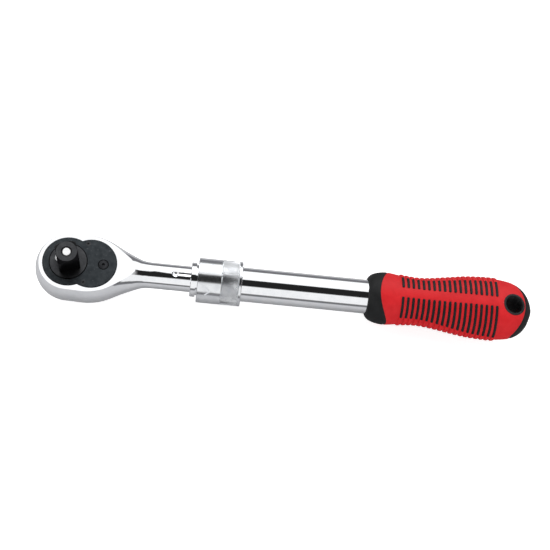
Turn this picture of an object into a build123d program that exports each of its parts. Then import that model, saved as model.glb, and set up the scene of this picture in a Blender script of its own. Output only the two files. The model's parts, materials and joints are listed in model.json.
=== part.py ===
from build123d import *
import os
from math import cos, pi, radians, sin

# Extendable ratchet handle with a 12.7 mm square drive, lying on its back with the square up.
# Frame: the origin is on the drive axis, at the shoulder where a socket seats.
# +Z runs out of the square, +X runs along the handle to the grip. Units are millimetres.

# ---- head: a form turned about the handle axis, cut flat on two sides ----
axis_z = -10.6            # height of the handle axis
head_radius = 20.3
face_half = 10.0          # the two flats are this far from the handle axis
head_flank = [(0.0, 20.3), (12.5, 20.5), (22.2, 18.5), (31.9, 13.8), (41.7, 9.5), (52.0, 7.9)]
neck_end = 52.0

# ---- rod, with a ball groove and lock dimples along its top ----
rod_radius = 7.9
rod_end = 238.5
guide_front = 228.0       # ring that guides the rod's tail in the tube
guide_back = 236.0
guide_radius = 8.8
tail_radius = 7.2         # floor of the guide ring's groove
lock_pitch = 20.0
dimple_x = 64.6           # the dimple of the shortest setting
dimple_count = 8
dimple_cutter = 2.6
dimple_depth = 1.39
groove_cutter = 2.2
groove_depth = 0.75
rest_notch = 1            # the setting drawn is this many notches out

# ---- cavities in the head ----
cover_radius = 15.5
cover_offset = 13.7       # from the drive axis to the centre of the cover's second lobe
cover_top = axis_z + 10.3
cover_thickness = 1.8
cover_bottom = cover_top - cover_thickness
cover_bevel = 0.35
hole_bevel = 0.45
cavity_floor = axis_z - 4.1
gear_cavity_radius = 13.3
pocket_x = 17.0
pocket_radius = 11.3
screw_place = (10.5, 12.5)
screw_head_radius = 1.6
screw_radius = 1.0
screw_length = 6.5

# ---- drive gear ----
gear_teeth = 72
gear_tip = 12.6
gear_root = 12.1
gear_bottom = axis_z - 3.5
gear_top = cover_bottom - 0.2
hub_radius = 11.0
washer_radius = 11.8
journal_radius = 8.0
journal_bottom = axis_z - 9.9
drive_square = 12.7
drive_corner = 1.3
drive_length = 15.5
tip_height = 2.6          # the turned cone at the end of the square
tip_root = 8.6
tip_radius = 6.2
drive_turn = 19.0         # the square's turn about its own axis, degrees
running_gap = 0.05

# ---- quick release ----
plunger_radius = 2.65
plunger_bore = 2.75
button_radius = 4.1
button_flange = 5.0
button_bore = 5.1
button_top = axis_z - 12.0
flange_low = axis_z - 7.9
flange_high = axis_z - 6.6
spring_seat = axis_z + 1.5         # step in the drive's bore above the release spring
snap_groove = (axis_z - 9.1, axis_z - 8.0)
ramp_top = 8.4
plunger_waist = 1.7
socket_ball_radius = 2.3
socket_ball_height = 8.0  # above the shoulder
socket_ball_proud = 1.0
ramp_slope = 0.5          # ball retreat for each millimetre of button travel

# ---- pawl and reverse lever ----
lever_x = 21.0
stem_radius = 2.75
cam_radius = 4.0
pawl_swing = 4.5          # either side of its middle, degrees
pawl_radius = 10.4
pawl_front = 9.6
pawl_bottom = axis_z - 4.0
pawl_top = axis_z + 6.9
lever_swing = 30.0        # either side of its middle, degrees
lever_disc = 7.4
lever_reach = 12.0
lever_recess = axis_z - 8.0        # roof of the lever's recess in the back of the head
lever_disc_span = (axis_z - 10.6, axis_z - 8.1)
tab_low = axis_z - 12.4
tab_thickness = 2.2
tab_root_radius = 5.2
tab_tip_radius = 3.4
tab_rib_pitch = 1.7
stem_neck = 2.2                    # the stem in its clip groove
stem_groove = (pawl_top + 0.1, pawl_top + 0.9)
stem_hole = 0.9
toggle_ball_radius = 1.0
toggle_height = axis_z + 1.5
toggle_bore = 1.05
toggle_centre = cam_radius - 0.2   # from the stem's axis to the ball's centre
toggle_floor = -1.8                # bottom of the spring's hole, past the stem's axis

# ---- lock bush, tube and collar ----
ball_x = dimple_x + rest_notch * lock_pitch
bush_front = 73.8
ring_back = 77.0
neck_back = 79.5
bush_neck = 9.4           # the groove between the front ring and the land
tube_radius = 10.5
bush_radius = 11.15
bush_bore = 8.0
tube_bore = 8.9
land_back = 88.0
tube_front = 96.0
bush_back = 107.6
tube_back = 262.0
plug_front = 259.4
lock_ball_radius = 2.0
collar_front = 78.0
collar_bevel = 0.4         # at both ends of the collar
collar_back = 103.6
cap_front = 101.0
cap_back = 104.9
collar_radius = 13.7
collar_land = 11.27       # the collar's running bore on the bush
collar_cone_end = 12.0
chamber_radius = 12.5
knurl_front = 92.4        # the knurled band, drawn at the floor of its grooves
knurl_back = 103.2
knurl_depth = 0.35
arrow_x = 86.5            # the point of the engraved arrow that shows which way to pull
arrow_length = 4.6
arrow_width = 0.9
arrow_depth = 0.4
arrow_angle = 47.0        # from the top of the collar, degrees
cap_bore = 10.6
clip_front = 99.6
clip_back = 100.8
clip_radius = 12.2
clip_seat = 10.0          # floor of the clip's groove in the tube

# ---- grip: oval sections as (x, half width, half height) ----
grip_sections = [
    (182.2, 11.8, 11.6), (183.6, 13.6, 12.8), (186.0, 15.0, 13.7), (189.0, 15.9, 14.2),
    (193.0, 16.4, 14.4), (197.0, 16.1, 14.0), (201.0, 15.5, 13.5), (207.0, 14.8, 13.0),
    (213.5, 14.4, 12.8), (220.0, 14.9, 12.7), (227.2, 16.0, 12.8), (234.7, 17.3, 13.0),
    (242.3, 18.5, 13.2), (250.0, 19.2, 13.4), (257.4, 19.5, 13.5), (262.5, 19.4, 13.4),
    (267.0, 18.9, 13.2), (272.0, 17.9, 12.7), (276.0, 16.1, 11.9), (279.5, 13.3, 10.4),
    (282.5, 8.9, 7.8), (284.6, 3.4, 3.6),
]
skin_depth = 1.6
skin_front = 188.8        # ends of the skin along the top of the grip
skin_back = 279.7
skin_front_curve = 25.0   # radii of the skin's ends, seen from above
skin_back_curve = 24.5
hang_x = 272.1
hang_radius = 5.3
liner_radius = 6.8

lever_centre = Pos(lever_x, 0, 0)


def rod_x(radius, start, end):
    """A round bar on the handle axis, from start to end along X."""
    bar = Cylinder(radius, end - start, align=(Align.CENTER, Align.CENTER, Align.MIN))
    return Pos(start, 0, axis_z) * Rot(0, 90, 0) * bar


def rod_z(radius, low, high, x=0.0, y=0.0):
    """A round bar along Z, from low to high."""
    return Pos(x, y, low) * Cylinder(radius, high - low, align=(Align.CENTER, Align.CENTER, Align.MIN))


def ring_x(outer, inner, start, end):
    return rod_x(outer, start, end) - rod_x(inner, start - 1, end + 1)


def ring_z(outer, inner, low, high, x=0.0):
    return rod_z(outer, low, high, x) - rod_z(inner, low - 1, high + 1, x)


def slab(x0, x1, low, high, half_width=60.0):
    """A block between two X planes and two Z planes."""
    block = Box(x1 - x0, 2 * half_width, high - low, align=(Align.MIN, Align.CENTER, Align.MIN))
    return Pos(x0, 0, low) * block


def turned(points):
    """A solid turned about the handle axis from (x, radius) points joined by straight lines."""
    outline = Polyline(*[(x, axis_z + r) for x, r in points], close=True)
    face = Plane.XZ * make_face(outline)
    return revolve(face, Axis((0, 0, axis_z), (1, 0, 0)))


def coil(radius, wire_radius, length, turns):
    """A helical spring standing on the XY plane."""
    path = Helix(pitch=length / turns, height=length, radius=radius)
    section = Plane(origin=path @ 0, z_dir=path % 0) * Circle(wire_radius)
    return sweep(section, path=path, is_frenet=True)


# ---------------------------------------------------------------- head and rod
def head_form():
    """A turned form that narrows from the head to the rod, with half a ball for its nose."""
    flank = Spline(*[(x, axis_z + r) for x, r in head_flank], tangents=[(1, 0), (1, 0)])
    rod_top = Line((neck_end, axis_z + rod_radius), (rod_end - 1, axis_z + rod_radius))
    chamfer = Line((rod_end - 1, axis_z + rod_radius), (rod_end, axis_z + rod_radius - 1))
    middle = Polyline(
        (rod_end, axis_z + rod_radius - 1), (rod_end, axis_z), (0, axis_z), (0, axis_z + head_radius))
    face = Plane.XZ * make_face([flank, rod_top, chamfer, middle])
    form = revolve(face, Axis((0, 0, axis_z), (1, 0, 0)))
    form += Pos(0, 0, axis_z) * Sphere(head_radius) & slab(-30, 0, axis_z - 30, axis_z + 30)
    return form & slab(-30, rod_end + 5, axis_z - face_half, axis_z + face_half)


def cover_outline(grow):
    return Circle(cover_radius + grow) + Pos(cover_offset, 0) * Circle(cover_radius + grow)


def ball_groove():
    """The groove's floor is round and its ends are ball-shaped, then a dimple at each setting."""
    height = axis_z + rod_radius
    last = dimple_x + (dimple_count - 1) * lock_pitch
    groove_z = height - groove_depth + groove_cutter
    mid = Cylinder(groove_cutter, last - dimple_x, align=(Align.CENTER, Align.CENTER, Align.MIN))
    cut = Pos(dimple_x, 0, groove_z) * Rot(0, 90, 0) * mid
    for n in range(dimple_count):
        place = Pos(dimple_x + n * lock_pitch, 0, height - dimple_depth + dimple_cutter)
        cut += place * Sphere(dimple_cutter)
    return cut


def head_shank():
    body = head_form()
    body -= Pos(0, 0, cover_bottom) * extrude(cover_outline(0.05), 5)
    body -= rod_z(gear_cavity_radius, cavity_floor, cover_top)
    body -= rod_z(pocket_radius, cavity_floor, cover_top, pocket_x)
    body -= rod_z(journal_radius + running_gap, axis_z - 15, cavity_floor + 1)
    body -= rod_z(stem_radius + running_gap, axis_z - 15, cavity_floor + 1, lever_x)
    body -= rod_z(lever_disc + 0.3, axis_z - 15, lever_recess, lever_x)
    x, y = screw_place
    for side in (-1, 1):
        body -= rod_z(screw_radius, cover_top - screw_length, cover_top, x, side * y)
    body -= ball_groove()
    body -= ring_x(rod_radius + 2, tail_radius, guide_front - 0.1, guide_back + 0.1)
    return body


def rod_guide_ring():
    return ring_x(guide_radius, tail_radius + 0.02, guide_front, guide_back)


def screw_cone():
    return Cone(screw_radius, screw_head_radius, 1.0, align=(Align.CENTER, Align.CENTER, Align.MAX))


def edge_cone(radius):
    """Cuts the bevel round a hole whose edge is level with the origin."""
    return Cone(radius, radius + hole_bevel, hole_bevel, align=(Align.CENTER, Align.CENTER, Align.MAX))


def cover_plate():
    """Two round lobes with bevelled edges, and bevelled holes for the drive's hub and the lever's stem."""
    straight = cover_thickness - cover_bevel
    plate = extrude(cover_outline(0), straight)
    plate += Pos(0, 0, straight) * extrude(cover_outline(0), cover_bevel, taper=45)
    plate = Pos(0, 0, cover_bottom) * plate
    for radius, x in ((hub_radius + 0.1, 0), (stem_radius + running_gap, lever_x)):
        plate -= rod_z(radius, cover_bottom - 1, cover_top + 1, x)
        plate -= Pos(x, 0, cover_top) * edge_cone(radius)
    x, y = screw_place
    for side in (-1, 1):
        plate -= rod_z(screw_radius + 0.1, cover_bottom - 1, cover_top + 1, x, side * y)
        plate -= Pos(x, side * y, cover_top) * screw_cone()
    return plate


def cover_screw():
    """One countersunk screw with a hexagon socket, its head level with the origin."""
    screw = screw_cone() + rod_z(screw_radius, -screw_length, -1.0)
    return screw - Pos(0, 0, -0.8) * extrude(RegularPolygon(0.75, 6), 2)


def cover_screws():
    x, y = screw_place
    return [Pos(x, side * y, cover_top) * cover_screw() for side in (-1, 1)]


# ---------------------------------------------------------------- drive gear and quick release
def gear_outline(grow=0.0):
    """Symmetrical V teeth, with a tooth tip on the X axis."""
    step = pi / gear_teeth
    points = []
    for n in range(2 * gear_teeth):
        radius = (gear_tip if n % 2 == 0 else gear_root) + grow
        points.append((radius * cos(n * step), radius * sin(n * step)))
    return make_face(Polyline(*points, close=True))


def square_drive():
    """A square bar whose end is turned down to a cone with a round end face."""
    square = RectangleRounded(drive_square, drive_square, drive_corner)
    bar = Rot(0, 0, drive_turn) * extrude(square, drive_length)
    profile = [
        (0, 0), (drive_square, 0), (drive_square, drive_length - tip_height),
        (tip_root, drive_length - tip_height), (tip_radius, drive_length), (0, drive_length),
    ]
    return bar & revolve(Plane.XZ * make_face(Polyline(*profile, close=True)), Axis.Z)


def ball_way():
    """Direction from the drive axis to the socket ball, in the XY plane."""
    angle = radians(180 + drive_turn)
    return Vector(cos(angle), sin(angle), 0)


def ball_centre():
    out = drive_square / 2 + socket_ball_proud - socket_ball_radius
    return ball_way() * out + Vector(0, 0, socket_ball_height)


def drive_gear():
    body = Pos(0, 0, gear_bottom) * extrude(gear_outline(), gear_top - gear_bottom)
    body += rod_z(hub_radius, gear_top - 1, 0)
    body += rod_z(journal_radius, journal_bottom, gear_bottom + 1)
    body += square_drive()
    body -= rod_z(plunger_bore, journal_bottom - 1, drive_length + 1)
    body -= rod_z(button_bore, journal_bottom - 1, spring_seat)
    body -= rod_z(button_bore + 0.5, *snap_groove)
    body -= Pos(0, 0, drive_length) * edge_cone(plunger_bore)
    centre = ball_centre()
    hole = Plane(origin=centre, z_dir=-ball_way()) * Cylinder(
        socket_ball_radius + 0.04, 5, align=(Align.CENTER, Align.CENTER, Align.MIN))
    body -= hole
    body -= Pos(centre) * Sphere(socket_ball_radius + 0.04)
    return body


def thrust_washer():
    return ring_z(washer_radius, journal_radius + 0.4, cavity_floor, gear_bottom - 0.1)


def release_plunger():
    """Button, flange and rod in one turned piece, with a ramp for the socket ball."""
    ramp = (plunger_radius - plunger_waist) / ramp_slope
    tip = drive_length + 0.1
    profile = [
        (0, button_top), (button_radius - 0.8, button_top), (button_radius, button_top + 0.8),
        (button_radius, flange_low), (button_flange, flange_low), (button_flange, flange_high),
        (plunger_radius, flange_high), (plunger_radius, ramp_top - ramp - 3.5),
        (plunger_waist, ramp_top - ramp - 2.5), (plunger_waist, ramp_top - ramp),
        (plunger_radius, ramp_top),
        (plunger_radius, tip - 0.5), (plunger_radius - 0.5, tip), (0, tip),
    ]
    face = Plane.XZ * make_face(Polyline(*profile, close=True))
    return revolve(face, Axis.Z)


def release_spring():
    wire = 0.45
    length = spring_seat - flange_high - 2 * wire
    return Pos(0, 0, flange_high + wire) * coil(3.9, wire, length, 5)


def release_snap_ring():
    low, high = snap_groove
    ring = ring_z(button_bore + 0.4, button_radius + 0.2, low + 0.1, high - 0.1)
    return ring - Pos(button_bore, 0, low) * Box(4, 2, 4)


def socket_ball():
    return Pos(ball_centre()) * Sphere(socket_ball_radius)


# ---------------------------------------------------------------- pawl and reverse lever
def pawl_middle():
    """The two-ended pawl halfway between its two working places, as a flat outline."""
    blank = Pos(pocket_x, 0) * Circle(pawl_radius)
    blank -= Circle(gear_root - 0.1)
    blank -= Circle(gear_tip + 0.8) & Rectangle(40, 11.6)
    for side in (-1, 1):
        turn = Pos(lever_x, 0) * Rot(0, 0, side * pawl_swing) * Pos(-lever_x, 0)
        blank -= turn * gear_outline(0.06)
    blank -= Rectangle(2 * pawl_front, 60)
    return blank - Pos(lever_x, 0) * Circle(cam_radius + running_gap)


def pawl():
    body = Pos(0, 0, pawl_bottom) * extrude(pawl_middle(), pawl_top - pawl_bottom)
    body -= rod_z(cam_radius + 0.85, toggle_height - 1.3, toggle_height + 1.3, lever_x)
    return lever_centre * Rot(0, 0, pawl_swing) * lever_centre.inverse() * body


def toggle_hole():
    """The cross hole of the toggle's spring and ball, through one side of the stem and cam."""
    hole = Cylinder(toggle_bore, 10, align=(Align.CENTER, Align.CENTER, Align.MIN))
    return Pos(lever_x + toggle_floor, 0, toggle_height) * Rot(0, 90, 0) * hole


def lever_middle():
    """Disc, thumb tab with four cross grooves, and the stem that carries the cam."""
    disc = rod_z(lever_disc, *lever_disc_span, lever_x)
    root = Pos(lever_x, 0) * Circle(tab_root_radius)
    thumb = Pos(lever_x + lever_reach, 0) * Circle(tab_tip_radius)
    tab = Pos(0, 0, tab_low) * extrude(make_hull(root.edges() + thumb.edges()), tab_thickness)
    stem = rod_z(stem_radius, lever_disc_span[0], cover_top, lever_x)
    stem -= rod_z(stem_hole, cover_top - 1.2, cover_top + 1, lever_x)
    stem -= ring_z(cam_radius, stem_neck, *stem_groove, lever_x)
    stem -= toggle_hole()
    body = disc + tab + stem
    for n in range(4):
        groove_x = lever_x + lever_reach - 3.0 + n * tab_rib_pitch
        body -= Pos(groove_x, 0, tab_low) * Rot(0, 45, 0) * Box(0.7, 20, 0.7)
    return body


def at_lever_rest(body):
    """Turns a piece about the stem, from its middle place to the place drawn."""
    return lever_centre * Rot(0, 0, -lever_swing) * lever_centre.inverse() * body


def reverse_lever():
    return at_lever_rest(lever_middle())


def selector_cam():
    body = ring_z(cam_radius, stem_radius, pawl_bottom, pawl_top, lever_x)
    return at_lever_rest(body - toggle_hole())


def toggle_ball():
    return at_lever_rest(Pos(lever_x + toggle_centre, 0, toggle_height) * Sphere(toggle_ball_radius))


def toggle_spring():
    wire = 0.15
    length = toggle_centre - toggle_ball_radius - toggle_floor - 2 * wire - 0.1
    spring = coil(0.8, wire, length, 5)
    return at_lever_rest(Pos(lever_x + toggle_floor + wire + 0.05, 0, toggle_height) * Rot(0, 90, 0) * spring)


def stem_clip():
    low, high = stem_groove
    ring = ring_z(cam_radius - 0.1, stem_neck, low + 0.05, high - 0.05, lever_x)
    ring -= Pos(lever_x - 3, 0, low) * Box(6, 3.4, 4)
    return at_lever_rest(ring)


# ---------------------------------------------------------------- lock bush, tube and collar
def lock_bush():
    body = turned([
        (bush_front, bush_bore), (bush_front, tube_radius - 0.4), (bush_front + 0.4, tube_radius),
        (ring_back, tube_radius), (ring_back, bush_neck), (neck_back, bush_neck),
        (neck_back, bush_radius),
        (land_back, bush_radius), (land_back, tube_radius), (tube_front, tube_radius),
        (tube_front, tube_bore), (bush_back, tube_bore), (bush_back, bush_bore),
    ])
    return body - rod_z(lock_ball_radius + 0.04, axis_z, axis_z + 20, ball_x)


def outer_tube():
    tube = ring_x(tube_radius, tube_bore, tube_front, tube_back)
    return tube - ring_x(tube_radius + 1, clip_seat, clip_front - 0.05, clip_back + 0.05)


def tube_plug():
    return rod_x(tube_bore, plug_front, tube_back)


def lock_ball():
    height = axis_z + rod_radius - groove_depth + 0.07 + lock_ball_radius
    return Pos(ball_x, 0, height) * Sphere(lock_ball_radius)


def arrow_mark():
    """Two bars meeting in a point that faces the grip, sunk into the collar's skin."""
    bar = Box(arrow_length, arrow_width, 2 * arrow_depth, align=(Align.MAX, Align.CENTER, Align.CENTER))
    mark = Rot(0, 0, 40) * bar + Rot(0, 0, -40) * bar
    place = Pos(arrow_x, 0, axis_z) * Rot(arrow_angle, 0, 0) * Pos(0, 0, collar_radius)
    return place * mark


def lock_collar():
    cone_back = ball_x + 0.5
    knurl_floor = collar_radius - knurl_depth
    body = turned([
        (collar_front, collar_cone_end), (collar_front, collar_radius - collar_bevel),
        (collar_front + collar_bevel, collar_radius), (knurl_front, collar_radius),
        (knurl_front + knurl_depth, knurl_floor), (knurl_back - knurl_depth, knurl_floor),
        (knurl_back, collar_radius), (collar_back, collar_radius),
        (collar_back, chamber_radius), (land_back, chamber_radius), (land_back, collar_land),
        (cone_back, collar_land),
    ])
    return body - arrow_mark()


def collar_cap():
    return turned([
        (cap_front, cap_bore), (cap_front, chamber_radius), (collar_back, chamber_radius),
        (collar_back, collar_radius), (cap_back - collar_bevel, collar_radius),
        (cap_back, collar_radius - collar_bevel), (cap_back, cap_bore),
    ])


def collar_spring():
    wire = 0.55
    length = clip_front - land_back - 2 * wire
    spring = coil(11.6, wire, length - 0.2, 4)
    return Pos(land_back + wire + 0.1, 0, axis_z) * Rot(0, 90, 0) * spring


def spring_clip():
    ring = ring_x(clip_radius, clip_seat + 0.02, clip_front, clip_back)
    return ring - Pos(100, 0, axis_z - 11) * Box(4, 4, 6)


# ---------------------------------------------------------------- grip
def oval_form(inset=0.0):
    """The grip's outer form, or the same form shrunk all round."""
    rings = []
    for x, half_width, half_height in grip_sections:
        plane = Plane(origin=(x, 0, axis_z), x_dir=(0, 1, 0), z_dir=(1, 0, 0))
        rings.append(plane * Ellipse(half_width - inset, half_height - inset))
    return loft(rings)


def skin_outline():
    """The skin seen from above: its two curved ends joined by straight sides clear of the grip."""
    front = Pos(skin_front + skin_front_curve, 0) * Circle(skin_front_curve)
    back = Pos(skin_back - skin_back_curve, 0) * Circle(skin_back_curve)
    return make_hull(front.edges() + back.edges())


def grip_skin():
    outline = Pos(0, 0, axis_z - 30) * extrude(skin_outline(), 60)
    skin = (oval_form() & outline) - oval_form(skin_depth)
    return skin - rod_z(liner_radius, axis_z - 30, axis_z + 30, hang_x)


def grip_core(skin):
    body = oval_form() - skin
    body -= rod_x(tube_radius, 150, tube_back)
    return body - rod_z(hang_radius, axis_z - 30, axis_z + 30, hang_x)


def build_all():
    skin = grip_skin()
    nodes = {
        "head_shank": head_shank(),
        "rod_guide_ring": rod_guide_ring(),
        "cover_plate": cover_plate(),
        "cover_screws": Compound(children=cover_screws()),
        "drive_gear": drive_gear(),
        "thrust_washer": thrust_washer(),
        "release_plunger": release_plunger(),
        "release_spring": release_spring(),
        "release_snap_ring": release_snap_ring(),
        "socket_ball": socket_ball(),
        "pawl": pawl(),
        "reverse_lever": reverse_lever(),
        "selector_cam": selector_cam(),
        "toggle_ball": toggle_ball(),
        "toggle_spring": toggle_spring(),
        "stem_clip": stem_clip(),
        "lock_bush": lock_bush(),
        "outer_tube": outer_tube(),
        "tube_plug": tube_plug(),
        "lock_ball": lock_ball(),
        "lock_collar": lock_collar(),
        "collar_cap": collar_cap(),
        "collar_spring": collar_spring(),
        "spring_clip": spring_clip(),
        "grip_core": grip_core(skin),
        "grip_skin": skin,
    }
    os.makedirs("parts", exist_ok=True)
    for name, shape in nodes.items():
        export_step(shape, f"parts/{name}.step")


build_all()
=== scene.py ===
import bpy
import json
from math import asin, cos, pi, radians, sin, sqrt
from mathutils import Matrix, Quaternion, Vector
from mathutils.bvhtree import BVHTree


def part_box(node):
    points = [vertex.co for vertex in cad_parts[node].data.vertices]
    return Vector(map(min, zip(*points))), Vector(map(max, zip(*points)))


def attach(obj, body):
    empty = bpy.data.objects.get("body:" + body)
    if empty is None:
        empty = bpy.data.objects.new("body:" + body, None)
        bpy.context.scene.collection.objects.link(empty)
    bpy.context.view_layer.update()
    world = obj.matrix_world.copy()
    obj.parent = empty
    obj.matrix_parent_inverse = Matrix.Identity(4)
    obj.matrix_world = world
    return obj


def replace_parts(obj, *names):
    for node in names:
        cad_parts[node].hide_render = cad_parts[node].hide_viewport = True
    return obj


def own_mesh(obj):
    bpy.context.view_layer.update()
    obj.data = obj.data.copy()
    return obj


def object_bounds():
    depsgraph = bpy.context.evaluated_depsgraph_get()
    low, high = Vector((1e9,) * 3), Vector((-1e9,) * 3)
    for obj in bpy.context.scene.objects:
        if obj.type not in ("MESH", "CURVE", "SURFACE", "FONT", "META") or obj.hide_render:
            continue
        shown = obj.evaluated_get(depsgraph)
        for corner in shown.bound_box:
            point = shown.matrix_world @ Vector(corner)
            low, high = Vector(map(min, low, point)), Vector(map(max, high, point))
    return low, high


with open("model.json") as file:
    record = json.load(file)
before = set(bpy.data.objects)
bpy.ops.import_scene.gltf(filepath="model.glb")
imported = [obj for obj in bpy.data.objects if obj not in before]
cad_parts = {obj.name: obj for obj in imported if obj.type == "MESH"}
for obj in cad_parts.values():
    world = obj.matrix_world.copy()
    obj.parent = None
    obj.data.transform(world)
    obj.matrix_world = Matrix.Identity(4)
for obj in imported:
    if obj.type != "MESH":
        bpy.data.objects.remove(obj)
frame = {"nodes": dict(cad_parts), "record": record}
cad_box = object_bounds()
nodes = frame["nodes"]

# Extendable ratchet handle. Lengths are in millimetres and angles in degrees, in the CAD frame.
# "Round the axis" means round the handle axis, from the top (+Z) towards -Y.
mm = 0.001

# ---- camera ----
camera_place = Vector((80.5, -258.1, 675.1))
camera_aim = Vector((125.1, 8.3, -10.6))
camera_roll = 14.55
camera_lens = 78.3
sensor_width = 36.0

# ---- knurled collar ----
knurl_pitch = 1.05
knurl_depth = 0.35
knurl_front = 92.4
knurl_back = 103.2
knurl_fade = 0.5             # length over which the diamonds run out at each end of the band
knurl_foot = 0.05            # how far the grooves sink into the CAD collar
knurl_steps = 6              # rows of points to a diamond, both ways

# ---- grip ----
skin_front = 188.8           # ends of the red skin along the top
skin_back = 279.7
skin_front_curve = 25.0      # radii of its ends, seen from above
skin_back_curve = 24.5
skin_edge = 0.9              # length over which the skin's edge rounds down
skin_drop = 0.6              # and how far down it goes
skin_step = 0.22             # the black core lies this much lower beside the skin
step_length = 1.5            # length over which it steps down, before the skin's end
core_depth = 0.9             # it lies this much lower again under the skin
core_start = 0.6             # from this far in
core_slope = 1.2             # and over this length
rib_count = 19
rib_first = 203.1
rib_pitch = 3.22
rib_width = 1.7              # of the black ribs
side_rib_width = 2.7         # of the red ribs that carry on round the grip's sides
rib_height = 0.75
rib_root = 0.4               # depth of a rib's foot below the skin
rib_fullness = 1.15          # how soon a rib's rounded end rises to the full height
near_stops = (64.0, 79.0)    # where the first and last black ribs end on the -Y side
far_stop = 48.0              # and where they all end on the +Y side
rib_overlap = 4.0            # degrees that red and black ribs run into each other
band = (-2.4, 3.4)           # -Y and +Y edges of the plain band between the rows of ribs
lip_length = 12.0            # stretch of finer rows at the grip's front
end_length = 12.0            # how far before the skin's end the finer rows at the back start
grip_columns = 144           # points round the grip
liner_wall = 1.5             # of the hang hole's liner

# ---- sky: leans are angles round the X axis, from +Z towards -Y ----
gap_back = (radians(-15), radians(-11))   # the dark gap between the soft boxes
gap_front = (radians(33), radians(27))
gap_ends = (0.75, 0.6)                    # the gap fades in between these X parts of a direction
gap_darkness = 0.985
horizon = (0.08, 0.2)                     # the soft boxes fade in between these Z parts
horizon_strength = 0.16
sky_strength = 1.0
front_dimming = 0.18                      # how much dimmer the front box is

# ---- floor ----
floor_gap = 0.5                           # below the lowest point of the handle
floor_half = 4000.0
floor_near = (0.50, 0.50, 0.51, 1.0)      # its tone in reflections, under the handle
floor_far = (0.16, 0.16, 0.17, 1.0)       # and further off
floor_back = (45.0, 75.0)                 # how far off it darkens behind the handle
floor_front = (110.0, 190.0)              # and in front of it
floor_lift = 0.5                          # its own light where the camera sees it

# ---- soft lights ----
light_aim = (120.0, 0.0, 0.0)
light_size = (1200.0, 700.0)
key_place = (250.0, 900.0, 750.0)
key_power = 7.5
fill_place = (150.0, -900.0, 450.0)
fill_power = 5.0

# ---- rounding of CAD edges ----
weld_gap = 0.0005            # points closer than this are one point
sharp_angle = 30.0           # edges sharper than this are rounded


def span(node, axis):
    """Lowest and highest place of a CAD node along an axis, in millimetres."""
    low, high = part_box(node)
    return low[axis] / mm, high[axis] / mm


axis_z = sum(span("outer_tube", 2)) / 2
tube_radius = (span("outer_tube", 2)[1] - span("outer_tube", 2)[0]) / 2
collar_radius = (span("lock_collar", 1)[1] - span("lock_collar", 1)[0]) / 2
grip_front, grip_back = span("grip_core", 0)
hang_hole = next(m for m in frame["record"]["mounts"] if m["name"] == "hang_hole")
hang_x = hang_hole["pos_m"][0] / mm
hang_radius = hang_hole["dims"]["r_mm"]
liner_radius = hang_radius + liner_wall


# ---------------------------------------------------------------- materials
def srgb(red, green, blue):
    """A colour given as 0 to 255 display values."""
    return tuple(((c / 255 + 0.055) / 1.055) ** 2.4 for c in (red, green, blue)) + (1.0,)


def noise(tree, place, scale, detail=3.0):
    """Mottling of a given fineness, mostly between 0.3 and 0.7."""
    node = tree.nodes.new("ShaderNodeTexNoise")
    node.inputs["Scale"].default_value = scale
    node.inputs["Detail"].default_value = detail
    tree.links.new(place, node.inputs["Vector"])
    return node.outputs["Fac"]


def remap(tree, value, low, high):
    """Takes a noise value's useful range, 0.3 to 0.7, to low and high."""
    node = tree.nodes.new("ShaderNodeMapRange")
    node.inputs["From Min"].default_value = 0.3
    node.inputs["From Max"].default_value = 0.7
    node.inputs["To Min"].default_value = low
    node.inputs["To Max"].default_value = high
    tree.links.new(value, node.inputs["Value"])
    return node.outputs["Result"]


def mixed(tree, factor, first, second):
    """Mixes two colours, each a fixed colour or another node's output."""
    node = tree.nodes.new("ShaderNodeMix")
    node.data_type = "RGBA"
    for name, colour in (("A", first), ("B", second)):
        if isinstance(colour, tuple):
            node.inputs[name].default_value = colour
        else:
            tree.links.new(colour, node.inputs[name])
    tree.links.new(factor, node.inputs["Factor"])
    return node.outputs["Result"]


def relief(tree, height, distance, strength=1.0, under=None):
    """A bump from a height, on top of another bump where one is given."""
    node = tree.nodes.new("ShaderNodeBump")
    node.inputs["Distance"].default_value = distance * mm
    node.inputs["Strength"].default_value = strength
    tree.links.new(height, node.inputs["Height"])
    if under is not None:
        tree.links.new(under, node.inputs["Normal"])
    return node.outputs["Normal"]


def object_place(tree, stretch=(1.0, 1.0, 1.0)):
    """Object coordinates in millimetres, stretched for a grain with a direction."""
    coordinates = tree.nodes.new("ShaderNodeTexCoord")
    mapping = tree.nodes.new("ShaderNodeMapping")
    mapping.inputs["Scale"].default_value = [s / mm for s in stretch]
    tree.links.new(coordinates.outputs["Object"], mapping.inputs["Vector"])
    return mapping.outputs["Vector"]


def edginess(tree, low, high):
    """0 to 1 between two values of Blender's pointiness: 0.5 on flat stretches, more on sharp edges."""
    geometry = tree.nodes.new("ShaderNodeNewGeometry")
    node = tree.nodes.new("ShaderNodeMapRange")
    node.inputs["From Min"].default_value = low
    node.inputs["From Max"].default_value = high
    tree.links.new(geometry.outputs["Pointiness"], node.inputs["Value"])
    return node.outputs["Result"]


def ramp(tree, value, start, end):
    """Rises smoothly from 0 to 1 as the value goes from start to end."""
    node = tree.nodes.new("ShaderNodeMapRange")
    node.interpolation_type = "SMOOTHSTEP"
    node.inputs["From Min"].default_value = start
    node.inputs["From Max"].default_value = end
    tree.links.new(value, node.inputs["Value"])
    return node.outputs["Result"]


def maths(tree, operation, first, second):
    """One calculation on two values, each a fixed number or another node's output."""
    node = tree.nodes.new("ShaderNodeMath")
    node.operation = operation
    for socket, value in zip(node.inputs, (first, second)):
        if isinstance(value, float):
            socket.default_value = value
        else:
            tree.links.new(value, socket)
    return node.outputs["Value"]


def new_material(name):
    material = bpy.data.materials.new(name)
    material.use_nodes = True
    return material, material.node_tree, material.node_tree.nodes["Principled BSDF"]


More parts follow.
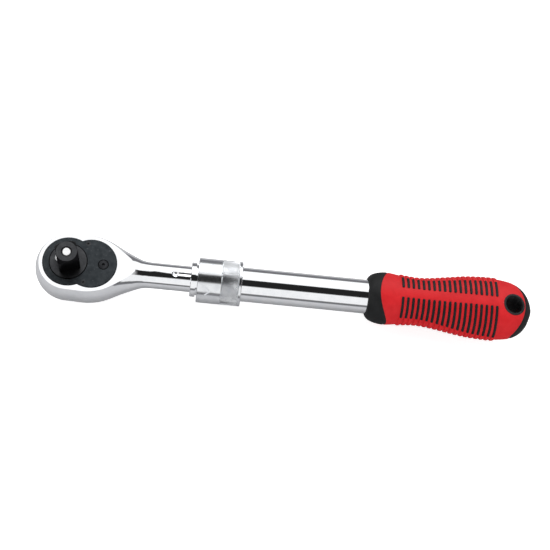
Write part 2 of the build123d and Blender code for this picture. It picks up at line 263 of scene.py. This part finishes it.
def facing_up(tree):
    """1 on faces square to the drive's axis, fading to 0 on bevels and side faces: the mask for painted
    side shade.
    """
    coordinates = tree.nodes.new("ShaderNodeTexCoord")
    split = tree.nodes.new("ShaderNodeSeparateXYZ")
    tree.links.new(coordinates.outputs["Normal"], split.inputs["Vector"])
    return ramp(tree, maths(tree, "ABSOLUTE", split.outputs["Z"], 0.0), 0.9, 0.98)


def metal(name, dark, light, gloss, grain, stretch=(1.0, 1.0, 1.0), depth=0.002,
          worn=None, side_shade=None, groove_shade=None):
    """Plated, oxide-coated or ground metal: mottled colour and gloss over a fine grain.

    worn is the colour of rubbed patches. The other two colours are painted shade: one on faces that
    don't face up or down, one in sharp hollows.
    """
    material, tree, shader = new_material(name)
    shader.inputs["Metallic"].default_value = 1.0
    place = object_place(tree)
    fine = noise(tree, object_place(tree, stretch), grain, 2.0)
    colour = mixed(tree, remap(tree, noise(tree, place, 0.25), 0.0, 1.0), dark, light)
    if worn is not None:
        rubbed = ramp(tree, noise(tree, place, 0.7, 6.0), 0.62, 0.72)
        colour = mixed(tree, rubbed, colour, worn)
    if side_shade is not None:
        # Painted shade: faces that turn away from up and down take the darker colour.
        colour = mixed(tree, facing_up(tree), side_shade, colour)
    # Painted shade: sharp hollows, where pointiness is low, take the darker colour.
    if groove_shade is not None:
        colour = mixed(tree, edginess(tree, 0.42, 0.5), groove_shade, colour)
    tree.links.new(colour, shader.inputs["Base Color"])
    tree.links.new(remap(tree, fine, *gloss), shader.inputs["Roughness"])
    tree.links.new(relief(tree, fine, depth), shader.inputs["Normal"])
    return material


def moulded(name, dark, light, worn, gloss):
    """Matt moulded rubber or nylon: spark-eroded texture, faint flow mottling, rubbed edges."""
    material, tree, shader = new_material(name)
    shader.inputs["IOR"].default_value = 1.48
    shader.inputs["Specular IOR Level"].default_value = 0.18
    place = object_place(tree)
    fine = noise(tree, place, 7.0, 3.0)
    coarse = noise(tree, place, 0.18, 4.0)
    colour = mixed(tree, remap(tree, coarse, 0.0, 1.0), dark, light)
    patches = remap(tree, noise(tree, place, 0.9), 0.0, 0.7)
    wear = maths(tree, "MULTIPLY", edginess(tree, 0.51, 0.6), patches)
    tree.links.new(mixed(tree, wear, colour, worn), shader.inputs["Base Color"])
    tree.links.new(remap(tree, fine, *gloss), shader.inputs["Roughness"])
    soft = relief(tree, coarse, 0.15, 0.3)
    tree.links.new(relief(tree, fine, 0.03, 0.6, soft), shader.inputs["Normal"])
    return material


def finishes():
    """One material for each of the record's slots."""
    return {
        "chrome": metal(
            "bright_chrome", srgb(238, 240, 243), srgb(246, 247, 249), (0.035, 0.085), 4.0),
        # Collar chrome: the knurl's hollows are painted darker as shade.
        "collar_chrome": metal(
            "collar_chrome", srgb(222, 224, 228), srgb(238, 240, 242), (0.12, 0.24), 9.0,
            groove_shade=srgb(98, 99, 102)),
        # Cover: its bevels and side faces are painted near black as shade.
        "cover_grey": metal(
            "cover_grey", srgb(46, 50, 53), srgb(61, 65, 68), (0.42, 0.6), 8.0,
            depth=0.006, worn=srgb(76, 79, 82), side_shade=srgb(14, 15, 16)),
        # Black oxide: its side faces are painted darker as shade.
        "black_steel": metal(
            "black_oxide", srgb(56, 57, 59), srgb(72, 73, 75), (0.26, 0.42), 6.0,
            depth=0.004, worn=srgb(82, 82, 84), side_shade=srgb(24, 24, 26)),
        "lever_steel": metal(
            "lever_black", srgb(34, 35, 37), srgb(56, 57, 60), (0.32, 0.5), 7.0,
            depth=0.005, worn=srgb(74, 75, 77)),
        "plain_steel": metal(
            "ground_steel", srgb(150, 150, 150), srgb(188, 187, 184), (0.22, 0.42), 5.0,
            stretch=(0.15, 1.0, 1.0), depth=0.004),
        "spring_steel": metal(
            "drawn_wire", srgb(120, 118, 114), srgb(170, 168, 164), (0.25, 0.4), 5.0,
            depth=0.003),
        "bright_steel": metal(
            "polished_steel", srgb(226, 227, 228), srgb(240, 240, 240), (0.06, 0.14), 5.0),
        "nylon": moulded(
            "black_nylon", srgb(28, 29, 30), srgb(40, 41, 42), srgb(70, 71, 72), (0.4, 0.6)),
        "black_grip": moulded(
            "black_grip", srgb(20, 21, 22), srgb(30, 31, 32), srgb(70, 71, 72), (0.5, 0.72)),
        "red_grip": moulded(
            "red_grip", srgb(190, 26, 32), srgb(202, 34, 39), srgb(214, 80, 78), (0.46, 0.66)),
    }


# ---------------------------------------------------------------- mesh helpers
def add_mesh(name, points, faces, slot_name, body, crease=35.0):
    """A mesh from points in millimetres, in one of the record's finishes, riding on a body."""
    mesh = bpy.data.meshes.new(name)
    mesh.from_pydata([[c * mm for c in p] for p in points], [], faces)
    mesh.polygons.foreach_set("use_smooth", [True] * len(mesh.polygons))
    mesh.set_sharp_from_angle(angle=radians(crease))
    mesh.materials.append(finish[slot_name])
    piece = bpy.data.objects.new(name, mesh)
    bpy.context.scene.collection.objects.link(piece)
    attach(piece, body)
    return piece


def round_axis(x, radius, angle):
    """A point at an angle in radians round the handle axis."""
    return (x, -radius * sin(angle), axis_z + radius * cos(angle))


def quad_grid(rows, columns):
    """Faces between rows of points that close round the axis."""
    faces = []
    for row in range(rows - 1):
        here = row * columns
        above = here + columns
        for column in range(columns):
            beside = (column + 1) % columns
            faces.append((here + column, here + beside, above + beside, above + column))
    return faces


def steps(start, end, count):
    """Evenly spaced values from start to end, both included."""
    return [start + (end - start) * n / count for n in range(count + 1)]


def smooth_step(value):
    """Rises smoothly from 0 to 1 as the value does."""
    value = max(0.0, min(1.0, value))
    return value * value * (3 - 2 * value)


def soften(piece, width):
    """Joins a CAD mesh along its edges and rounds the sharp ones, so that they catch the light."""
    weld = piece.modifiers.new("weld", "WELD")
    weld.merge_threshold = weld_gap * mm
    bevel = piece.modifiers.new("bevel", "BEVEL")
    bevel.width = width * mm
    bevel.segments = 2
    bevel.limit_method = "ANGLE"
    bevel.angle_limit = radians(sharp_angle)
    bevel.harden_normals = True


# ---------------------------------------------------------------- collar
def knurl_height(around, along):
    """A diamond knurl with slightly flattened tops: 0 at the bottom of the cuts, 1 on the diamonds."""
    left = abs((around + along) % 1.0 - 0.5) * 2
    right = abs((around - along) % 1.0 - 0.5) * 2
    return min(1.0, 1.25 * (1.0 - max(left, right)))


def knurl_band():
    """The collar's diamonds, standing in the band that the CAD collar leaves for them."""
    diamonds = round(2 * pi * collar_radius / knurl_pitch)
    columns = diamonds * knurl_steps
    groove = collar_radius - knurl_depth - knurl_foot
    rows = steps(knurl_front, knurl_back, round((knurl_back - knurl_front) / knurl_pitch * knurl_steps))
    points = []
    for x in rows:
        inside = min(x - knurl_front, knurl_back - x)
        along = (x - knurl_front) / knurl_pitch
        for column in range(columns):
            share = column / columns
            height = knurl_height(share * diamonds, along) * smooth_step(inside / knurl_fade)
            radius = groove + (collar_radius - groove) * height
            points.append(round_axis(x, radius, 2 * pi * share))
    add_mesh("knurl_band", points, quad_grid(len(rows), columns), "collar_chrome", "collar", 12.0)


# ---------------------------------------------------------------- grip
def grip_form():
    """The grip's half width and half height along X, read off the CAD core and skin."""
    graph = bpy.context.evaluated_depsgraph_get()
    trees = [BVHTree.FromObject(nodes[name], graph) for name in ("grip_core", "grip_skin")]
    outside = 40.0

    def reach(origin, way):
        """How far a line from outside the grip runs before it meets it."""
        hits = [tree.ray_cast(Vector(origin) * mm, Vector(way)) for tree in trees]
        return min((hit[3] / mm for hit in hits if hit[0] is not None), default=outside)

    sections = []
    # The sections start and end just inside the grip, where the lines still meet it.
    for x in steps(grip_front + 0.05, grip_back - 0.02, 240):
        half_width = outside - reach((x, outside, axis_z), (0, -1, 0))
        height_half_way_out = outside - reach((x, half_width / 2, axis_z + outside), (0, 0, -1))
        sections.append((x, half_width, height_half_way_out / cos(asin(0.5))))
    return sections


def grip_section(x):
    """Half width and half height at x, between the two nearest sections of the form."""
    place = (x - form[0][0]) / (form[-1][0] - form[0][0]) * (len(form) - 1)
    low = max(0, min(len(form) - 2, int(place)))
    share = max(0.0, min(1.0, place - low))
    return [a + (b - a) * share for a, b in zip(form[low][1:], form[low + 1][1:])]


def on_grip(x, angle, rise):
    """A point on the grip at an angle round its oval, raised off its surface."""
    half_width, half_height = grip_section(x)
    return (x, -sin(angle) * (half_width + rise), axis_z + cos(angle) * (half_height + rise))


def skin_end(angle, middle, curve, way):
    """X where the skin ends at an angle: an arc seen from above.

    way is 1 at the front and -1 at the back. The width there depends on X, so it is worked out in
    a few rounds. It is kept a little inside the arc.
    """
    x = middle
    for _ in range(6):
        side = min(abs(sin(angle)) * grip_section(x)[0], curve * 0.98)
        x = middle + way * (curve - sqrt(curve * curve - side * side))
    return x


def skin_ends(angle):
    """X of the skin's front and back ends at an angle."""
    front = skin_end(angle, skin_front, skin_front_curve, 1)
    back = skin_end(angle, skin_back, skin_back_curve, -1)
    return front, back


def core_drop(x, angle):
    """How far the black core lies under the CAD form: a little beside the skin, well under it."""
    front, back = skin_ends(angle)
    inside = min(x - front, back - x)
    beside_skin = skin_step * smooth_step((inside + step_length) / step_length)
    under_skin = core_depth * smooth_step((inside - core_start) / core_slope)
    return beside_skin + under_skin


def grip_core():
    """Black core: rounded lip round the tube, bolster, a floor under the red skin, rounded end."""
    angles = [2 * pi * n / grip_columns for n in range(grip_columns)]
    bore = tube_radius + 0.05
    # X and radius of the lip's inside, from deep in the grip out to its rounded edge.
    lip = [(grip_front + 6, bore), (grip_front + 0.4, bore), (grip_front + 0.1, bore + 0.25)]
    rows = [[round_axis(x, radius, angle) for angle in angles] for x, radius in lip]
    lip_end = grip_front + lip_length
    end_start = skin_back - end_length
    places = steps(grip_front + 0.1, lip_end, 34)
    places += steps(lip_end + 0.5, end_start, 90)
    for share in steps(0.02, 1.0, 60):
        places.append(end_start + (form[-1][0] - end_start) * sin(share * pi / 2))
    for x in places:
        rows.append([on_grip(x, angle, -core_drop(x, angle)) for angle in angles])
    points = [point for row in rows for point in row]
    faces = quad_grid(len(rows), grip_columns)
    faces.append(tuple(range(len(points) - grip_columns, len(points))))
    core = add_mesh("core", points, faces, "black_grip", "handle")
    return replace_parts(core, "grip_core")


def grip_skin():
    """Red skin with edges that round down to the core; its rows are closer together at both ends."""
    rows = 170
    points = []
    for n in range(rows + 1):
        even = n / rows
        crowded = 0.5 - 0.5 * cos(pi * even)
        for column in range(grip_columns):
            angle = 2 * pi * column / grip_columns
            front, back = skin_ends(angle)
            x = front + (back - front) * (0.35 * crowded + 0.65 * even)
            inside = min(x - front, back - x)
            edge = 1 - min(1.0, inside / skin_edge)
            points.append(on_grip(x, angle, -skin_drop * (1 - sqrt(1 - edge * edge))))
    skin = add_mesh("skin", points, quad_grid(rows + 1, grip_columns), "red_grip", "handle")
    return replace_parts(skin, "grip_skin")


def rib(points, faces, x, start, end, width):
    """Adds one raised rib with rounded ends at x, from one angle to the other round the grip."""
    long_steps = 40
    cross_steps = 10
    length = abs(end - start) * sum(grip_section(x)) / 2
    row = cross_steps + 1
    first = len(points)
    for n in range(long_steps + 1):
        share = 0.5 - 0.5 * cos(pi * n / long_steps)
        angle = start + (end - start) * share
        from_middle = abs(share - 0.5) * length
        past = max(0.0, from_middle - (length - width) / 2) / (width / 2)
        fullness = sqrt(max(0.0, 1 - past * past))
        for m in range(row):
            across = -cos(pi * m / cross_steps)
            lift = sqrt(max(0.0, 1 - across ** 4)) * min(1.0, fullness * rib_fullness)
            rise = -rib_root + (rib_root + rib_height) * lift
            points.append(on_grip(x + across * fullness * width / 2, angle, rise))
    for n in range(long_steps):
        for m in range(cross_steps):
            corner = first + n * row + m
            faces.append((corner, corner + 1, corner + row + 1, corner + row))


def grip_ribs():
    """Black ribs of the core that stand through the skin, above and below, and red ones on from them."""
    black_points, black_faces = [], []
    red_points, red_faces = [], []
    for n in range(rib_count):
        x = rib_first + n * rib_pitch
        half_width = grip_section(x)[0]
        near_stop = near_stops[0] + (near_stops[1] - near_stops[0]) * n / (rib_count - 1)
        near_side = (asin(-band[0] / half_width), radians(near_stop), 1)
        far_side = (asin(band[1] / half_width), radians(far_stop), -1)
        for start, stop, way in (near_side, far_side):
            rib(black_points, black_faces, x, way * start, way * stop, rib_width)
            rib(black_points, black_faces, x, pi - way * start, pi - way * stop, rib_width)
            carry_on = stop - radians(rib_overlap)
            rib(red_points, red_faces, x, way * carry_on, way * (pi - carry_on), side_rib_width)
    add_mesh("grip_ribs", black_points, black_faces, "black_grip", "handle")
    add_mesh("side_ribs", red_points, red_faces, "red_grip", "handle")


def ring(radius, columns):
    """Points of a circle round the hang hole's axis, seen from above."""
    turns = [2 * pi * n / columns for n in range(columns)]
    return [(hang_x + radius * cos(turn), radius * sin(turn)) for turn in turns]


def drill(piece, radius):
    """Cuts the hang hole through a grip piece."""
    columns = 64
    points = [(x, y, axis_z + end) for end in (-30, 30) for x, y in ring(radius, columns)]
    faces = quad_grid(2, columns)
    faces.append(tuple(range(columns - 1, -1, -1)))
    faces.append(tuple(range(columns, 2 * columns)))
    mesh = bpy.data.meshes.new("drill")
    mesh.from_pydata([[c * mm for c in p] for p in points], [], faces)
    cutter = bpy.data.objects.new("drill", mesh)
    bpy.context.scene.collection.objects.link(cutter)
    cut = piece.modifiers.new("hang_hole", "BOOLEAN")
    cut.operation = "DIFFERENCE"
    cut.object = cutter
    cut.solver = "EXACT"
    graph = bpy.context.evaluated_depsgraph_get()
    piece.data = bpy.data.meshes.new_from_object(piece.evaluated_get(graph))
    piece.modifiers.clear()
    bpy.data.objects.remove(cutter)


def grip_height(x, y):
    """Height of the grip's upper surface above the handle axis."""
    half_width, half_height = grip_section(x)
    return half_height * sqrt(max(0.0, 1 - (y / half_width) ** 2))


def hang_liner():
    """The hole's black liner: a tube through the grip with a rounded rim that follows the surface."""
    columns = 72
    # Radius and rise above the grip, over the rim from its foot outside to its foot in the hole.
    rim = [(liner_radius - 0.05, -1.2), (liner_radius + 0.05, 0.05), (liner_radius - 0.15, 0.3),
           (liner_radius - 0.45, 0.34), (hang_radius + 0.35, 0.1), (hang_radius + 0.06, -0.4),
           (hang_radius, -1.3)]
    top = [(radius, rise, 1) for radius, rise in rim]
    bottom = [(radius, rise, -1) for radius, rise in reversed(rim)]
    points = []
    for radius, rise, way in top + bottom:
        for x, y in ring(radius, columns):
            points.append((x, y, axis_z + way * (grip_height(x, y) + rise)))
    add_mesh("hang_liner", points, quad_grid(len(top + bottom), columns), "black_grip", "handle")


# ---------------------------------------------------------------- CAD nodes kept with better finishes
def dress_nodes():
    """Gives each CAD node its slot's finish, and some of them a small round on sharp edges."""
    rounds = {"drive_gear": 0.12, "cover_plate": 0.12, "cover_screws": 0.2, "reverse_lever": 0.25,
              "release_plunger": 0.1, "spring_clip": 0.1, "pawl": 0.15, "selector_cam": 0.1,
              "thrust_washer": 0.1, "rod_guide_ring": 0.1, "tube_plug": 0.2}
    for part in frame["record"]["subparts"]:
        piece = nodes[part["node"]]
        piece.data.materials.clear()
        piece.data.materials.append(finish[part["material_slot"]])
        if part["node"] in rounds:
            soften(piece, rounds[part["node"]])


def stand_in_spring(node, body, slot_name):
    """A copy of a CAD spring that rides on a body in place of the node."""
    spring = bpy.data.objects.new(node + "_coil", nodes[node].data.copy())
    bpy.context.scene.collection.objects.link(spring)
    spring.data.materials.clear()
    spring.data.materials.append(finish[slot_name])
    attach(spring, body)
    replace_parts(spring, node)
    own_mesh(spring)


def springs():
    """The collar's and the release button's springs, each anchored at the end its own body holds."""
    stand_in_spring("collar_spring", "handle", "spring_steel")
    stand_in_spring("release_spring", "release", "spring_steel")


# ---------------------------------------------------------------- floor, light and camera
def seen_directly(tree):
    """1 where the camera looks straight at the surface or the sky, and 0 in reflections."""
    return tree.nodes.new("ShaderNodeLightPath").outputs["Is Camera Ray"]


def floor():
    """A pale floor under the lowest point of the handle."""
    half = floor_half * mm
    height = cad_box[0].z - floor_gap * mm
    corners = [(x * half, y * half, height) for x, y in ((-1, -1), (1, -1), (1, 1), (-1, 1))]
    mesh = bpy.data.meshes.new("floor")
    mesh.from_pydata(corners, [], [(0, 1, 2, 3)])
    material, tree, shader = new_material("floor")
    place = object_place(tree)
    pale = mixed(tree, noise(tree, place, 0.02, 2.0), srgb(250, 250, 250), srgb(254, 254, 254))
    split = tree.nodes.new("ShaderNodeSeparateXYZ")
    tree.links.new(place, split.inputs["Vector"])
    behind = ramp(tree, split.outputs["Y"], *floor_back)
    ahead = ramp(tree, maths(tree, "MULTIPLY", split.outputs["Y"], -1.0), *floor_front)
    far = maths(tree, "ADD", behind, ahead)
    reflected = mixed(tree, far, floor_near, floor_far)
    tone = mixed(tree, seen_directly(tree), reflected, pale)
    lift = maths(tree, "MULTIPLY", seen_directly(tree), floor_lift)
    tree.links.new(tone, shader.inputs["Base Color"])
    shader.inputs["Emission Color"].default_value = (1.0, 1.0, 1.0, 1.0)
    tree.links.new(lift, shader.inputs["Emission Strength"])
    shader.inputs["Roughness"].default_value = 0.9
    shader.inputs["Specular IOR Level"].default_value = 0.0
    mesh.materials.append(material)
    piece = bpy.data.objects.new("floor", mesh)
    bpy.context.scene.collection.objects.link(piece)


def sky():
    """Two large soft boxes either side of a dark gap overhead, above a dim horizon."""
    world = bpy.data.worlds.new("studio")
    bpy.context.scene.world = world
    world.use_nodes = True
    tree = world.node_tree
    coordinates = tree.nodes.new("ShaderNodeTexCoord")
    split = tree.nodes.new("ShaderNodeSeparateXYZ")
    tree.links.new(coordinates.outputs["Generated"], split.inputs["Vector"])
    to_front = maths(tree, "MULTIPLY", split.outputs["Y"], -1.0)
    lean = maths(tree, "ARCTAN2", to_front, split.outputs["Z"])
    strip = maths(tree, "MULTIPLY", ramp(tree, lean, *gap_back), ramp(tree, lean, *gap_front))
    reach = ramp(tree, maths(tree, "ABSOLUTE", split.outputs["X"], 0.0), *gap_ends)
    gap = maths(tree, "MULTIPLY", strip, reach)
    open_sky = ramp(tree, split.outputs["Z"], *horizon)
    front_box = maths(tree, "MULTIPLY", ramp(tree, lean, *gap_front[::-1]), front_dimming)
    boxes = maths(tree, "MULTIPLY", open_sky, maths(tree, "SUBTRACT", sky_strength, front_box))
    light = maths(tree, "ADD", boxes, horizon_strength)
    outside_gap = maths(tree, "SUBTRACT", 1.0, maths(tree, "MULTIPLY", gap, gap_darkness))
    lit = maths(tree, "MULTIPLY", light, outside_gap)
    shown = maths(tree, "MAXIMUM", lit, seen_directly(tree))
    tree.links.new(shown, tree.nodes["Background"].inputs["Strength"])
    tree.nodes["Background"].inputs["Color"].default_value = (1.0, 1.0, 1.0, 1.0)


def soft_box(name, place, power, mirrored):
    """A large soft light that faces the handle; mirrored says whether polished metal shows it."""
    light = bpy.data.lights.new(name, "AREA")
    light.shape = "RECTANGLE"
    light.size = light_size[0] * mm
    light.size_y = light_size[1] * mm
    light.energy = power
    lamp = bpy.data.objects.new(name, light)
    bpy.context.scene.collection.objects.link(lamp)
    lamp.visible_glossy = mirrored
    lamp.location = Vector(place) * mm
    lamp.rotation_mode = "QUATERNION"
    lamp.rotation_quaternion = (Vector(light_aim) - Vector(place)).to_track_quat("-Z", "Y")


def camera():
    """The main view, with its roll."""
    lens = bpy.data.cameras.new("camera")
    lens.lens = camera_lens
    lens.sensor_width = sensor_width
    viewer = bpy.data.objects.new("camera", lens)
    bpy.context.scene.collection.objects.link(viewer)
    viewer.location = camera_place * mm
    viewer.rotation_mode = "QUATERNION"
    level = (camera_aim - camera_place).to_track_quat("-Z", "Y")
    viewer.rotation_quaternion = level @ Quaternion((0, 0, 1), radians(camera_roll))
    bpy.context.scene.camera = viewer


finish = finishes()
dress_nodes()
knurl_band()
form = grip_form()
core = grip_core()
skin = grip_skin()
grip_ribs()
drill(core, hang_radius)
drill(skin, liner_radius - 0.02)
hang_liner()
springs()
floor()
sky()
soft_box("key", key_place, key_power, mirrored=True)
soft_box("fill", fill_place, fill_power, mirrored=False)
camera()
bpy.context.scene.view_settings.view_transform = "Standard"
